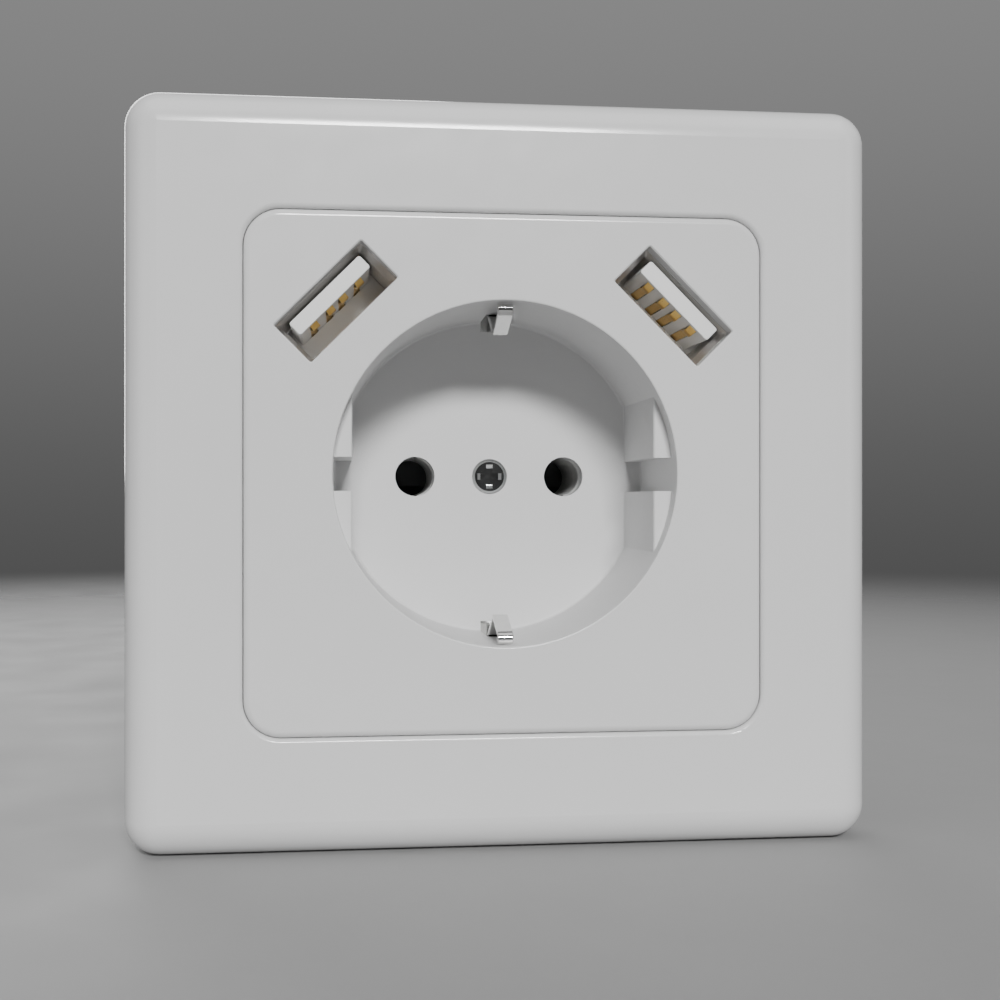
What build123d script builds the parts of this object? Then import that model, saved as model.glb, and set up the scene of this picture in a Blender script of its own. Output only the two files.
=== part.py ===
from build123d import *
import os

# Flush wall socket with an earthed two-pin recess and two USB-A ports.
# Millimetres. +X right and +Z up as seen from the room, +Y into the wall.
# The wall's surface is Y = 0; the origin is midway between the two wall-box screws.

# ---------------------------------------------------------------- driving sizes
frame_size = 86.0            # cover frame, square
frame_depth = 11.0           # front face to wall
frame_corner_r = 4.1         # plan corner
frame_edge_r = 4.0           # rounding of the outer front edge
frame_skin = 2.4             # thickness of the frame's front
frame_wall = 2.0             # thickness of the frame's outer wall
frame_inner_box = 67.0       # outside of the frame's inner wall
frame_opening = 59.3         # opening that the centre plate drops into
frame_ledge_opening = 56.0   # opening of the ledge behind it
frame_ledge_back = -5.6
frame_inner_edge_r = 0.55
frame_rib_back = -3.2

plate_size = 59.2
plate_corner_r = 4.2
plate_edge_r = 0.75
plate_t = 2.2
plate_skirt_depth = 3.6      # front face to the ledge

recess_r = 19.7
recess_depth = 19.5
floor_edge_r = 0.35          # rounding between the recess's wall and floor
block_foot_r = 0.3           # rounding between the side blocks and the floor
pot_r = 21.3
floor_t = 2.0
flat_x = 17.5                # half the width across the two side flats
block_step = 2.5             # side blocks start this far below the face
side_slot_w = 3.9
pin_x = 9.5                  # half the pin spacing
pin_hole_r = 2.5
screw_head_r = 2.15
screw_head_t = 1.1
clip_slot_w = 2.3
clip_slot_front = 1.4

usb_offset = 19.3            # X and Z of each port's centre
usb_window_w, usb_window_h = 13.75, 5.85
usb_shell_w, usb_shell_h, usb_sheet = 13.1, 5.7, 0.3
usb_flare = 1.3              # depth of the shell's flared mouth
usb_tongue_w, usb_tongue_t = 11.1, 1.84
usb_tongue_shift = 1.0       # tongue lies this far outward of the port's centre
usb_tongue_front = 0.45
usb_block_t = 0.6            # the tongue's foot on the board
usb_pin_pitch = (-3.5, -1.0, 1.0, 3.5)

ring_size, ring_t, ring_cut = 71.0, 1.0, 9.0
ring_hole_r = 22.3
box_screw_x = 30.0           # half the wall-box screw spacing
box_slot_w, box_slot_l = 3.8, 6.6

base_r = 28.3
base_depth = 28.0
pot_clear_r = 21.8
pot_clear_back = 10.9
cover_back = 33.2
box_screw_notch_r = 2.7

contact_inner_r, contact_outer_r = 2.4, 3.0
contact_front, contact_back = 11.3, 25.0
tail_front, tail_t = 22.6, 0.8

strip_t = 0.55               # earth bracket sheet
clip_w = 1.8
bridge_w = 6.4
bridge_y = 11.3              # front face of the bridge
screw_r = 1.5

claw_x, claw_z = 24.2, -7.0  # right-hand claw screw's axis
claw_pivot_x, claw_pivot_y = 20.2, 16.0
claw_w, claw_t = 6.0, 0.8
claw_pin_r = 0.9

term_x, term_z = 14.0, -12.0 # line and neutral clamp axes
earth_term_z = -20.3         # earth clamp axis, at X = 0
cage_w, cage_l = 6.4, 5.0
cage_front, cage_gap_front, cage_gap_back, cage_back = 18.1, 19.6, 23.8, 25.4
wire_y = 21.1
wire_hole_r = 1.9
wire_flat_z = -23.0

usb_board_y, usb_board_t = 0.4, 1.2
usb_board_r, usb_board_inner_r, usb_board_z = 28.9, 24.3, 11.5
power_board_y, power_board_t = 28.4, 1.6
power_board_r, power_board_z = 26.2, 5.0
bay_front = 13.6

ring_screw_spots = [(-24.4, 8.0), (24.4, 8.0), (-17.0, -19.5), (17.0, -19.5)]
cover_screw_spots = [(-7.2, -23.6), (7.2, -23.6), (-22.6, 9.6), (22.6, 9.6)]
usb_wire_spots = [(4.6, 24.4), (5.9, 24.4), (7.2, 24.4)]

face_y = -frame_depth
floor_y = face_y + recess_depth


def at(y):
    """Sketch plane at depth y: local x is X, local y is Z, and extrude runs towards the room."""
    return Plane.XZ.offset(-y)


def usb_at(y):
    """Sketch plane on the right-hand port: local x along its width, local y outward."""
    return Plane(origin=(usb_offset, y, usb_offset), x_dir=(1, 0, -1), z_dir=(0, -1, 0))


os.makedirs("parts", exist_ok=True)

# ---------------------------------------------------------------- cover frame
with BuildPart() as cover_frame:
    with BuildSketch(at(0)):
        RectangleRounded(frame_size, frame_size, frame_corner_r)
    extrude(amount=frame_depth)
    fillet(cover_frame.faces().sort_by(Axis.Y)[0].edges(), frame_edge_r)
    # hollow back
    with BuildSketch(at(0)):
        RectangleRounded(frame_size - 2 * frame_wall, frame_size - 2 * frame_wall, frame_corner_r - 1.8)
    extrude(amount=frame_depth - frame_skin, mode=Mode.SUBTRACT)
    # inner wall and ledge round the opening
    with BuildSketch(at(frame_ledge_back)):
        RectangleRounded(frame_inner_box, frame_inner_box, 6.0)
    extrude(amount=frame_depth - frame_skin + frame_ledge_back + 0.4)
    # stiffening ribs across the hollow and round bosses at the corners, clear of the ring behind them
    with BuildSketch(at(frame_rib_back)):
        for side in (-1, 1):
            for place in (-21.0, -7.0, 7.0, 21.0):
                with Locations((place, side * 36.7)):
                    Rectangle(1.2, 9.8)
                with Locations((side * 36.7, place)):
                    Rectangle(9.8, 1.2)
        with GridLocations(72.6, 72.6, 2, 2):
            Circle(2.6)
            Circle(1.2, mode=Mode.SUBTRACT)
    extrude(amount=frame_depth - frame_skin + frame_rib_back + 0.2)
    # opening: wide as far as the ledge, narrower through it
    with BuildSketch(at(frame_ledge_back + 1.0)):
        RectangleRounded(frame_ledge_opening, frame_ledge_opening, 2.6)
    extrude(amount=7.5, mode=Mode.SUBTRACT)
    with BuildSketch(at(face_y + plate_skirt_depth)):
        RectangleRounded(frame_opening, frame_opening, plate_corner_r + 0.05)
    extrude(amount=plate_skirt_depth + 1.0, mode=Mode.SUBTRACT)
    frame_front = cover_frame.faces().filter_by(Axis.Y).sort_by(Axis.Y)[0]
    fillet(frame_front.inner_wires()[0].edges(), frame_inner_edge_r)
cover_frame.part.label = "cover_frame"
export_step(cover_frame.part, "parts/cover_frame.step")

# ---------------------------------------------------------------- centre plate with the recess
with BuildPart() as centre_plate:
    with BuildSketch(at(face_y + plate_t)):
        RectangleRounded(plate_size, plate_size, plate_corner_r)
    extrude(amount=plate_t)
    fillet(centre_plate.faces().sort_by(Axis.Y)[0].edges(), plate_edge_r)
    # skirt that bears on the frame's ledge
    with BuildSketch(at(face_y + plate_skirt_depth)):
        RectangleRounded(plate_size, plate_size, plate_corner_r)
        RectangleRounded(plate_size - 3.6, plate_size - 3.6, plate_corner_r - 1.8, mode=Mode.SUBTRACT)
    extrude(amount=plate_skirt_depth - plate_t)
    # pot
    with BuildSketch(at(floor_y + floor_t)):
        Circle(pot_r)
    extrude(amount=recess_depth + floor_t - plate_t)
    # webs between the pot and the skirt
    with BuildSketch(at(face_y + plate_skirt_depth)):
        with Locations((0, 24.5), (0, -24.5)):
            Rectangle(1.2, 7.4)
        with Locations((24.5, 0), (-24.5, 0)):
            Rectangle(7.4, 1.2)
    extrude(amount=plate_skirt_depth - plate_t)
    # recess
    with BuildSketch(at(floor_y)):
        Circle(recess_r)
    extrude(amount=recess_depth, mode=Mode.SUBTRACT)
    rim = (
        centre_plate.edges()
        .filter_by(GeomType.CIRCLE)
        .filter_by(lambda e: abs(e.radius - recess_r) < 1e-3)
        .sort_by(Axis.Y)[0]
    )
    fillet(rim, 0.2)
    floor_edge = (
        centre_plate.edges()
        .filter_by(GeomType.CIRCLE)
        .filter_by(lambda e: abs(e.radius - recess_r) < 1e-3)
        .sort_by(Axis.Y)[-1]
    )
    fillet(floor_edge, floor_edge_r)
    # side blocks with their guide slots
    with BuildSketch(at(floor_y)):
        Circle(recess_r + 0.4)
        Rectangle(2 * flat_x, 60, mode=Mode.SUBTRACT)
        Rectangle(60, side_slot_w, mode=Mode.SUBTRACT)
    extrude(amount=recess_depth - block_step)
    block_edges = centre_plate.edges().filter_by(
        lambda e: abs(abs(e.center().X) - flat_x) < 1e-3 and abs(e.center().Y - face_y - block_step) < 1e-3
    )
    chamfer(block_edges, 0.15)
    block_feet = centre_plate.edges().filter_by(
        lambda e: abs(abs(e.center().X) - flat_x) < 1e-3 and abs(e.center().Y - floor_y) < 1e-3
    )
    fillet(block_feet, block_foot_r)
    # pin holes, and the screw hole with its counterbore
    with BuildSketch(at(floor_y + floor_t)):
        with Locations((-pin_x, 0), (pin_x, 0)):
            Circle(pin_hole_r)
        Circle(screw_r + 0.15)
    extrude(amount=floor_t, mode=Mode.SUBTRACT)
    with BuildSketch(at(floor_y + 1.25)):
        Circle(screw_head_r + 0.08)
    extrude(amount=1.25, mode=Mode.SUBTRACT)
    # slots for the earth clips, open at the back so that the clips can snap in
    with BuildSketch(at(floor_y + floor_t)):
        with Locations((0, 20.35), (0, -20.35)):
            Rectangle(clip_slot_w, 3.9)
    extrude(amount=floor_y + floor_t - clip_slot_front, mode=Mode.SUBTRACT)
    # USB windows
    with BuildSketch(usb_at(face_y + plate_t)):
        RectangleRounded(usb_window_w, usb_window_h, 0.25)
    extrude(amount=plate_t, mode=Mode.SUBTRACT)
    with BuildSketch(
        Plane(origin=(-usb_offset, face_y + plate_t, usb_offset), x_dir=(1, 0, 1), z_dir=(0, -1, 0))
    ):
        RectangleRounded(usb_window_w, usb_window_h, 0.25)
    extrude(amount=plate_t, mode=Mode.SUBTRACT)
    plate_front = centre_plate.faces().filter_by(Axis.Y).sort_by(Axis.Y)[0]
    window_edges = [
        e for w in plate_front.inner_wires() if w.bounding_box().size.X < 20 for e in w.edges()
    ]
    chamfer(window_edges, 0.15)
centre_plate.part.label = "centre_plate"
export_step(centre_plate.part, "parts/centre_plate.step")

# ---------------------------------------------------------------- centre screw
with BuildPart() as centre_screw:
    with BuildSketch(at(floor_y + 0.1 + screw_head_t)):
        Circle(screw_head_r)
    extrude(amount=screw_head_t)
    chamfer(centre_screw.faces().sort_by(Axis.Y)[0].edges(), 0.28)
    with BuildSketch(at(floor_y + 8.0)):
        Circle(screw_r)
    extrude(amount=7.0)
    chamfer(centre_screw.faces().sort_by(Axis.Y)[-1].edges(), 0.4)
    # cross recess: upright walls, sloping ends
    head_y = floor_y + 0.1
    for across in (Plane.YZ, Plane(origin=(0, 0, 0), x_dir=(0, 1, 0), z_dir=(0, 0, -1))):
        with BuildSketch(across):
            with BuildLine():
                Polyline(
                    (head_y - 0.1, -1.66), (head_y - 0.1, 1.66), (head_y, 1.52), (head_y + 0.27, 1.14), (head_y + 0.85, 1.02),
                    (head_y + 0.85, -1.02), (head_y + 0.27, -1.14), (head_y, -1.52), close=True,
                )
            make_face()
        extrude(amount=0.41, both=True, mode=Mode.SUBTRACT)
centre_screw.part.label = "centre_screw"
export_step(centre_screw.part, "parts/centre_screw.step")

# ---------------------------------------------------------------- support ring
with BuildPart() as support_ring:
    with BuildSketch(at(0)) as ring_sketch:
        Rectangle(ring_size, ring_size)
        chamfer(ring_sketch.vertices(), ring_cut)
        Circle(ring_hole_r, mode=Mode.SUBTRACT)
        with Locations((-box_screw_x, 0), (box_screw_x, 0)):
            SlotOverall(box_slot_l, box_slot_w, mode=Mode.SUBTRACT)
        with Locations((-claw_x, claw_z), (claw_x, claw_z)):
            Circle(screw_r + 0.2, mode=Mode.SUBTRACT)
        with Locations((18.0, 18.0)):
            Rectangle(14.4, 10.9, rotation=-45, mode=Mode.SUBTRACT)
        with Locations((-18.0, 18.0)):
            Rectangle(14.4, 10.9, rotation=45, mode=Mode.SUBTRACT)
        with Locations(*ring_screw_spots):
            Circle(1.25, mode=Mode.SUBTRACT)
        # levelling and linking slots
        with Locations((0, 31.6), (0, -31.6)):
            SlotOverall(15, 3.0, mode=Mode.SUBTRACT)
        with Locations((-27.5, -27.5), (27.5, -27.5)):
            Circle(2.0, mode=Mode.SUBTRACT)
    extrude(amount=ring_t)
support_ring.part.label = "support_ring"
export_step(support_ring.part, "parts/support_ring.step")

# ---------------------------------------------------------------- ring screws
with BuildPart() as ring_screws:
    with BuildSketch(at(-ring_t)):
        with Locations(*ring_screw_spots):
            Circle(2.1)
    extrude(amount=1.4)
    fillet(ring_screws.faces().filter_by(Axis.Y).group_by(Axis.Y)[0].edges(), 0.4)
    with BuildSketch(at(8.5)):
        with Locations(*ring_screw_spots):
            Circle(1.1)
    extrude(amount=8.5 + ring_t + 0.2)
    with BuildSketch(at(-ring_t - 1.4)):
        with Locations(*ring_screw_spots):
            Rectangle(2.4, 0.6)
            Rectangle(0.6, 2.4)
    extrude(amount=-0.8, taper=8, mode=Mode.SUBTRACT)
ring_screws.part.label = "ring_screws"
export_step(ring_screws.part, "parts/ring_screws.step")

# ---------------------------------------------------------------- base body
with BuildPart() as base_body:
    with BuildSketch(at(base_depth)):
        Circle(base_r)
        with Locations((-box_screw_x, 0), (box_screw_x, 0)):
            Circle(box_screw_notch_r, mode=Mode.SUBTRACT)
    extrude(amount=base_depth)
    # cup for the pot
    with BuildSketch(at(pot_clear_back)):
        Circle(pot_clear_r)
    extrude(amount=pot_clear_back, mode=Mode.SUBTRACT)
    # seat of the front circuit board
    with BuildSketch(at(2.9)):
        Circle(base_r + 1)
        Circle(24.0, mode=Mode.SUBTRACT)
        with Locations((0, usb_board_z - 0.3 - 40)):
            Rectangle(80, 80, mode=Mode.SUBTRACT)
    extrude(amount=2.9, mode=Mode.SUBTRACT)
    # channel for the earth bracket and its strap
    with BuildSketch(at(12.9)):
        Rectangle(bridge_w + 0.6, 47.0)
    extrude(amount=2.0, mode=Mode.SUBTRACT)
    with BuildSketch(at(12.9)):
        with Locations((0, 22.3), (0, -22.3)):
            Rectangle(bridge_w + 0.6, 2.4)
    extrude(amount=12.9, mode=Mode.SUBTRACT)
    with BuildSketch(at(base_depth)):
        with Locations((0, -15.2)):
            Rectangle(4.4, 2.4)
    extrude(amount=base_depth - 12.5, mode=Mode.SUBTRACT)
    # centre screw's tip
    with BuildSketch(at(18.5)):
        Circle(2.6)
    extrude(amount=6.2, mode=Mode.SUBTRACT)
    # chambers of the pin contacts
    with BuildSketch(at(base_depth)):
        with Locations((-pin_x, 0), (pin_x, 0)):
            Circle(contact_outer_r + 0.6)
    extrude(amount=base_depth - pot_clear_back, mode=Mode.SUBTRACT)
    # trenches for the contact tails and solder tabs
    with BuildSketch(at(base_depth)):
        for side in (-1, 1):
            with Locations((side * pin_x, 5.0)):
                Rectangle(3.4, 6.2)
            with BuildLine():
                Polyline(
                    (side * 7.2, -1.0), (side * 12.2, -1.0), (side * 16.4, -6.6), (side * 16.4, -9.0),
                    (side * 11.6, -9.0), (side * 11.6, -7.8), (side * 7.2, -3.4), close=True,
                )
            make_face()
    extrude(amount=base_depth - 22.2, mode=Mode.SUBTRACT)
    # terminal bays
    with BuildSketch(at(base_depth)):
        with Locations((-term_x, term_z - 0.6), (term_x, term_z - 0.6)):
            Rectangle(7.4, 10.0)
        with Locations((0, earth_term_z + 0.3)):
            Rectangle(7.4, 7.4)
    extrude(amount=base_depth - 14.2, mode=Mode.SUBTRACT)
    # wire entries
    with BuildSketch(Plane.XY.offset(-40)):
        with Locations((-term_x, wire_y), (term_x, wire_y), (0, wire_y)):
            Circle(wire_hole_r)
    extrude(amount=24, mode=Mode.SUBTRACT)
    # flats that the wire entries open on
    with BuildSketch(at(base_depth)):
        for side in (-1, 1):
            with Locations((side * (term_x + 0.6), wire_flat_z)):
                Rectangle(6.4, 6.0, align=(Align.CENTER, Align.MAX))
    extrude(amount=base_depth - 17.6, mode=Mode.SUBTRACT)
    # component bay of the supply
    with BuildSketch(at(base_depth)):
        Circle(26.3)
        with Locations((0, 6.5 - 40)):
            Rectangle(80, 80, mode=Mode.SUBTRACT)
    extrude(amount=base_depth - bay_front, mode=Mode.SUBTRACT)
    # screw posts that stand in the bay
    with BuildSketch(at(base_depth)):
        with Locations(*cover_screw_spots[2:]):
            Circle(2.4)
    extrude(amount=base_depth - bay_front + 0.4)
    # way through for the wires between the boards
    with BuildSketch(at(bay_front + 0.5)):
        with Locations((5.9, 24.4)):
            SlotOverall(4.6, 1.7)
    extrude(amount=bay_front, mode=Mode.SUBTRACT)
    # claw pockets, open to the sides
    with BuildSketch(at(base_depth)):
        for side in (-1, 1):
            with Locations((side * 24.7, claw_z)):
                Rectangle(12.4, claw_w + 0.8)
    extrude(amount=base_depth - 12.0, mode=Mode.SUBTRACT)
    with BuildSketch(at(13.0)):
        for side in (-1, 1):
            with Locations((side * 27.0, claw_z)):
                Rectangle(9.0, claw_w + 0.8)
    extrude(amount=13.0 - 9.4, mode=Mode.SUBTRACT)
    # claw screws
    with BuildSketch(at(12.0)):
        with Locations((-claw_x, claw_z), (claw_x, claw_z)):
            Circle(screw_r + 0.3)
    extrude(amount=12.0, mode=Mode.SUBTRACT)
    # claw pivot pins
    with BuildSketch(Plane.XY.offset(claw_z - 4.6)):
        with Locations((-claw_pivot_x, claw_pivot_y), (claw_pivot_x, claw_pivot_y)):
            Circle(claw_pin_r + 0.01)
    extrude(amount=9.2, mode=Mode.SUBTRACT)
    # ring screws and cover screws
    with BuildSketch(at(9.0)):
        with Locations(*ring_screw_spots):
            Circle(1.12)
    extrude(amount=9.0, mode=Mode.SUBTRACT)
    with BuildSketch(at(base_depth)):
        with Locations(*cover_screw_spots):
            Circle(0.92)
    extrude(amount=8.0, mode=Mode.SUBTRACT)
base_body.part.label = "base_body"
export_step(base_body.part, "parts/base_body.step")

# ---------------------------------------------------------------- rear cover
with BuildPart() as rear_cover:
    with BuildSketch(at(cover_back)):
        Circle(base_r)
        with Locations((-box_screw_x, 0), (box_screw_x, 0)):
            Circle(box_screw_notch_r, mode=Mode.SUBTRACT)
    extrude(amount=cover_back - base_depth)
    chamfer(rear_cover.faces().sort_by(Axis.Y)[-1].edges(), 0.8)
    # room for the supply's board and the solder side
    with BuildSketch(at(31.8)):
        Circle(26.6)
        with Locations((0, 4.4 - 40)):
            Rectangle(80, 80, mode=Mode.SUBTRACT)
    extrude(amount=31.8 - base_depth, mode=Mode.SUBTRACT)
    with BuildSketch(at(31.8)):
        with Locations(*cover_screw_spots[2:]):
            Circle(2.4)
    extrude(amount=31.8 - power_board_y - power_board_t - 0.2)
    # lightening pockets in the lower half
    with BuildSketch(at(31.4)):
        with Locations((0, -4.0)):
            Rectangle(30.0, 6.0)
        with Locations((0, -11.0)):
            Rectangle(16.0, 4.6)
    extrude(amount=31.4 - base_depth, mode=Mode.SUBTRACT)
    # terminal screws: shank holes and head counterbores
    with BuildSketch(at(cover_back)):
        with Locations((-term_x, term_z), (term_x, term_z), (0, earth_term_z)):
            Circle(screw_r + 0.25)
    extrude(amount=cover_back - base_depth, mode=Mode.SUBTRACT)
    with BuildSketch(at(cover_back)):
        with Locations((-term_x, term_z), (term_x, term_z), (0, earth_term_z)):
            Circle(3.2)
    extrude(amount=cover_back - 29.2, mode=Mode.SUBTRACT)
    # cover screws: clearance holes and sunk heads
    with BuildSketch(at(cover_back)):
        with Locations(*cover_screw_spots):
            Circle(1.25)
    extrude(amount=cover_back - base_depth, mode=Mode.SUBTRACT)
    with BuildSketch(at(cover_back)):
        with Locations(*cover_screw_spots):
            Circle(2.1)
    extrude(amount=1.3, mode=Mode.SUBTRACT)
    # cooling slots behind the supply
    with BuildSketch(at(cover_back)):
        with Locations(*[(0, 10.5 + 2.6 * k) for k in range(5)]):
            SlotOverall(15.0, 1.2)
    extrude(amount=cover_back - 31.0, mode=Mode.SUBTRACT)
rear_cover.part.label = "rear_cover"
export_step(rear_cover.part, "parts/rear_cover.step")

# ---------------------------------------------------------------- cover screws
with BuildPart() as cover_screws:
    with BuildSketch(at(cover_back - 0.1)):
        with Locations(*cover_screw_spots):
            Circle(1.95)
    extrude(amount=1.2)
    with BuildSketch(at(cover_back - 0.5)):
        with Locations(*cover_screw_spots):
            Circle(0.9)
    extrude(amount=12.0)
    with BuildSketch(at(cover_back - 0.1)):
        with Locations(*cover_screw_spots):
            Rectangle(2.2, 0.55)
            Rectangle(0.55, 2.2)
    extrude(amount=0.7, taper=8, mode=Mode.SUBTRACT)
cover_screws.part.label = "cover_screws"
export_step(cover_screws.part, "parts/cover_screws.step")

# ---------------------------------------------------------------- pin contacts
with BuildPart() as pin_contact_right:
    # sleeve
    with BuildSketch(at(contact_back)):
        with Locations((pin_x, 0)):
            Circle(contact_outer_r)
    extrude(amount=contact_back - contact_front)
    # tail to the clamp and tab up to the supply's board
    with BuildSketch(at(tail_front + tail_t)):
        with BuildLine():
            Polyline(
                (7.7, -2.4), (7.7, -3.2), (12.2, -7.9), (12.2, -16.4), (15.8, -16.4), (15.8, -6.9),
                (11.9, -2.4), (11.3, -0.5), (7.7, -0.5), close=True,
            )
        make_face()
        with Locations((pin_x, 4.7)):
            Rectangle(2.4, 5.4)
    extrude(amount=tail_t)
    with BuildSketch(at(30.7)):
        with Locations((pin_x, 7.0)):
            Rectangle(2.4, 0.8)
    extrude(amount=30.7 - tail_front)
    with BuildSketch(at(contact_back)):
        with Locations((pin_x, 0)):
            Circle(contact_inner_r)
    extrude(amount=contact_back - contact_front, mode=Mode.SUBTRACT)
    # slits that let the jaws spring
    with BuildSketch(at(20.4)):
        with Locations((pin_x, 0)):
            Rectangle(0.9, 8.0)
    extrude(amount=20.4 - contact_front, mode=Mode.SUBTRACT)
    # lead-in at the mouth
    mouth = (
        pin_contact_right.edges().filter_by(GeomType.CIRCLE)
        .filter_by(lambda e: abs(e.radius - contact_inner_r) < 1e-3 and abs(e.center().Y - contact_front) < 1e-3)
    )
    chamfer(mouth, 0.3)
pin_contact_right.part.label = "pin_contact_right"
export_step(pin_contact_right.part, "parts/pin_contact_right.step")

with BuildPart() as pin_contact_left:
    mirror(pin_contact_right.part, about=Plane.YZ)
pin_contact_left.part.label = "pin_contact_left"
export_step(pin_contact_left.part, "parts/pin_contact_left.step")

# ---------------------------------------------------------------- earth bracket
# Centre line of the strip in the Y-Z plane: bridge, leg, way in through the pot's wall, apex, free end.
bridge_mid = bridge_y + strip_t / 2
with BuildLine() as clip_line:
    clip_leg = FilletPolyline(
        (bridge_mid, 0), (bridge_mid, 22.75), (3.7, 22.75), (2.4, 19.75), (-3.5, 16.78), (-8.65, 18.30),
        radius=[1.0, 1.0, 1.0, 0.9],
    )
    JernArc(start=clip_leg @ 1, tangent=clip_leg % 1, radius=0.7, arc_size=-94)
with BuildPart() as earth_bracket:
    with BuildSketch(Plane.YZ):
        with BuildLine():
            offset(clip_line.wire(), amount=strip_t / 2)
        make_face()
    extrude(amount=clip_w / 2, both=True)
    fillet(earth_bracket.faces().filter_by(Axis.X).edges(), 0.12)
    with BuildSketch(Plane.YZ):
        with BuildLine():
            offset(
                FilletPolyline((bridge_mid, -1), (bridge_mid, 22.75), (7.6, 22.75), radius=1.0, mode=Mode.PRIVATE),
                amount=strip_t / 2,
            )
        make_face()
    extrude(amount=bridge_w / 2, both=True)
    mirror(about=Plane.XY)
    # threaded collar for the centre screw
    with BuildSketch(at(13.4)):
        Circle(2.3)
    extrude(amount=13.4 - bridge_y)
    with BuildSketch(at(13.4)):
        Circle(screw_r + 0.02)
    extrude(amount=13.4 - bridge_y + 1.0, mode=Mode.SUBTRACT)
earth_bracket.part.label = "earth_bracket"
export_step(earth_bracket.part, "parts/earth_bracket.step")

# ---------------------------------------------------------------- earth strap
strap_mid = bridge_y + strip_t + tail_t / 2
with BuildPart() as earth_strap:
    with BuildSketch(Plane.YZ):
        with BuildLine():
            strap_line = FilletPolyline(
                (strap_mid, -6.5), (strap_mid, -15.2), (tail_front + tail_t / 2, -15.2),
                (tail_front + tail_t / 2, -22.9), radius=0.8, mode=Mode.PRIVATE,
            )
            offset(strap_line, amount=tail_t / 2)
        make_face()
    extrude(amount=1.8, both=True)
earth_strap.part.label = "earth_strap"
export_step(earth_strap.part, "parts/earth_strap.step")

# ---------------------------------------------------------------- terminal cages
with BuildPart() as line_terminal_cage:
    with BuildSketch(Plane.XY.offset(term_z - cage_l / 2)):
        with Locations((-term_x, (cage_front + cage_back) / 2)):
            Rectangle(cage_w, cage_back - cage_front)
        with Locations((-term_x, (cage_gap_front + cage_gap_back) / 2)):
            Rectangle(cage_w - 2.0, cage_gap_back - cage_gap_front, mode=Mode.SUBTRACT)
    extrude(amount=cage_l)
    fillet(line_terminal_cage.edges().filter_by(Axis.Z).group_by(lambda e: e.center().Y < cage_front + 0.1 or e.center().Y > cage_back - 0.1)[-1], 0.5)
    with BuildSketch(at(cage_back)):
        with Locations((-term_x, term_z)):
            Circle(screw_r + 0.05)
    extrude(amount=cage_back - cage_gap_back, mode=Mode.SUBTRACT)
line_terminal_cage.part.label = "line_terminal_cage"
export_step(line_terminal_cage.part, "parts/line_terminal_cage.step")

with BuildPart() as neutral_terminal_cage:
    mirror(line_terminal_cage.part, about=Plane.YZ)
neutral_terminal_cage.part.label = "neutral_terminal_cage"
export_step(neutral_terminal_cage.part, "parts/neutral_terminal_cage.step")

with BuildPart() as earth_terminal_cage:
    with BuildSketch(Plane.XY.offset(earth_term_z - cage_l / 2)):
        with Locations((0, (cage_front + cage_back) / 2)):
            Rectangle(cage_w, cage_back - cage_front)
        with Locations((0, (cage_gap_front + cage_gap_back) / 2)):
            Rectangle(cage_w - 2.0, cage_gap_back - cage_gap_front, mode=Mode.SUBTRACT)
    extrude(amount=cage_l)
    fillet(earth_terminal_cage.edges().filter_by(Axis.Z).group_by(lambda e: e.center().Y < cage_front + 0.1 or e.center().Y > cage_back - 0.1)[-1], 0.5)
    with BuildSketch(at(cage_back)):
        with Locations((0, earth_term_z)):
            Circle(screw_r + 0.05)
    extrude(amount=cage_back - cage_gap_back, mode=Mode.SUBTRACT)
earth_terminal_cage.part.label = "earth_terminal_cage"
export_step(earth_terminal_cage.part, "parts/earth_terminal_cage.step")

# ---------------------------------------------------------------- terminal screws
term_tip, term_head_front, term_head_back = tail_front + tail_t + 0.1, 29.35, 31.9
with BuildPart() as line_terminal_screw:
    with BuildSketch(at(term_head_back)):
        with Locations((-term_x, term_z)):
            Circle(2.9)
    extrude(amount=term_head_back - term_head_front)
    fillet(line_terminal_screw.faces().sort_by(Axis.Y)[-1].edges(), 0.4)
    with BuildSketch(at(term_head_front + 0.1)):
        with Locations((-term_x, term_z)):
            Circle(screw_r)
    extrude(amount=term_head_front + 0.1 - term_tip)
    chamfer(line_terminal_screw.faces().sort_by(Axis.Y)[0].edges(), 0.3)
    with BuildSketch(at(term_head_back)):
        with Locations((-term_x, term_z)):
            Rectangle(7.0, 0.9)
            Rectangle(0.9, 3.6)
    extrude(amount=1.1, mode=Mode.SUBTRACT)
line_terminal_screw.part.label = "line_terminal_screw"
export_step(line_terminal_screw.part, "parts/line_terminal_screw.step")

with BuildPart() as neutral_terminal_screw:
    mirror(line_terminal_screw.part, about=Plane.YZ)
neutral_terminal_screw.part.label = "neutral_terminal_screw"
export_step(neutral_terminal_screw.part, "parts/neutral_terminal_screw.step")

with BuildPart() as earth_terminal_screw:
    with BuildSketch(at(term_head_back)):
        with Locations((0, earth_term_z)):
            Circle(2.9)
    extrude(amount=term_head_back - term_head_front)
    fillet(earth_terminal_screw.faces().sort_by(Axis.Y)[-1].edges(), 0.4)
    with BuildSketch(at(term_head_front + 0.1)):
        with Locations((0, earth_term_z)):
            Circle(screw_r)
    extrude(amount=term_head_front + 0.1 - term_tip)
    chamfer(earth_terminal_screw.faces().sort_by(Axis.Y)[0].edges(), 0.3)
    with BuildSketch(at(term_head_back)):
        with Locations((0, earth_term_z)):
            Rectangle(7.0, 0.9)
            Rectangle(0.9, 3.6)
    extrude(amount=1.1, mode=Mode.SUBTRACT)
earth_terminal_screw.part.label = "earth_terminal_screw"
export_step(earth_terminal_screw.part, "parts/earth_terminal_screw.step")

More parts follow.
